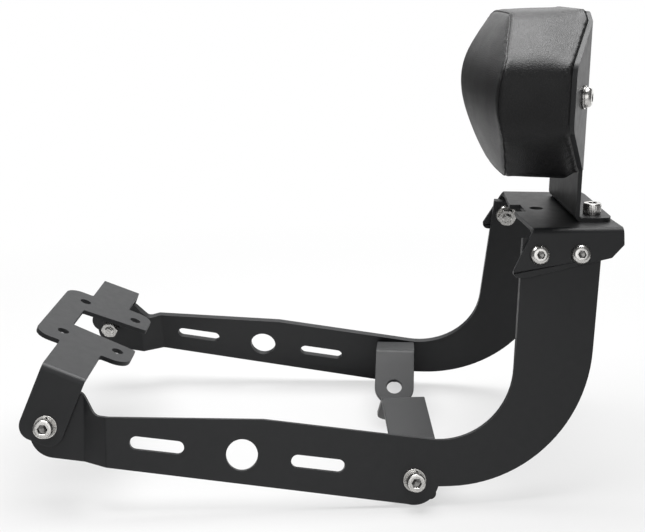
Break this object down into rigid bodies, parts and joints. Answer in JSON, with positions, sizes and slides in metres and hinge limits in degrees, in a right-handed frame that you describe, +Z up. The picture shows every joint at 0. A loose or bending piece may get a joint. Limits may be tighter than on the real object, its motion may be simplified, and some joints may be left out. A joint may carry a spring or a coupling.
{
  "type": "motorcycle grab rail with backrest",
  "caption": "Black sheet-metal passenger grab rail with joggled side plates, a front bolt bracket, folded rear tabs and a padded backrest on a folded stay.",
  "frame": {"origin": "midway between the two foremost bolt holes, on the underside of the front bracket", "axes": "+X towards the rear of the bike, +Y to its right, +Z up; the middle plane is Y = 0"},
  "size_m": [0.4243, 0.257, 0.335],
  "materials": {
    "powder_coat": "satin black powder coat",
    "stainless": "bright stainless",
    "zinc": "zinc plated",
    "cover": "grained synthetic leather over foam",
    "board": "moulded plywood"
  },
  "bodies": {
    "root": {"left_side_plate": "powder_coat", "right_side_plate": "powder_coat", "front_bracket": "powder_coat", "left_rear_tab": "powder_coat", "right_rear_tab": "powder_coat", "saddle_bridge": "powder_coat", "backrest_stay": "powder_coat", "pad_cushion": "cover", "pad_backing_board": "board", "front_screws": "stainless", "front_spring_washers": "stainless", "front_flat_washers": "stainless", "front_nuts": "stainless", "tab_screws": "stainless", "tab_spring_washers": "stainless", "tab_flat_washers": "stainless", "tab_nuts": "stainless", "saddle_screws": "stainless", "saddle_nuts": "stainless", "stay_screws": "stainless", "stay_spring_washers": "stainless", "stay_flat_washers": "stainless", "stay_nuts": "stainless", "pad_screws": "stainless", "pad_washers": "stainless", "pad_tee_nuts": "zinc"}
  },
  "joints": []
}
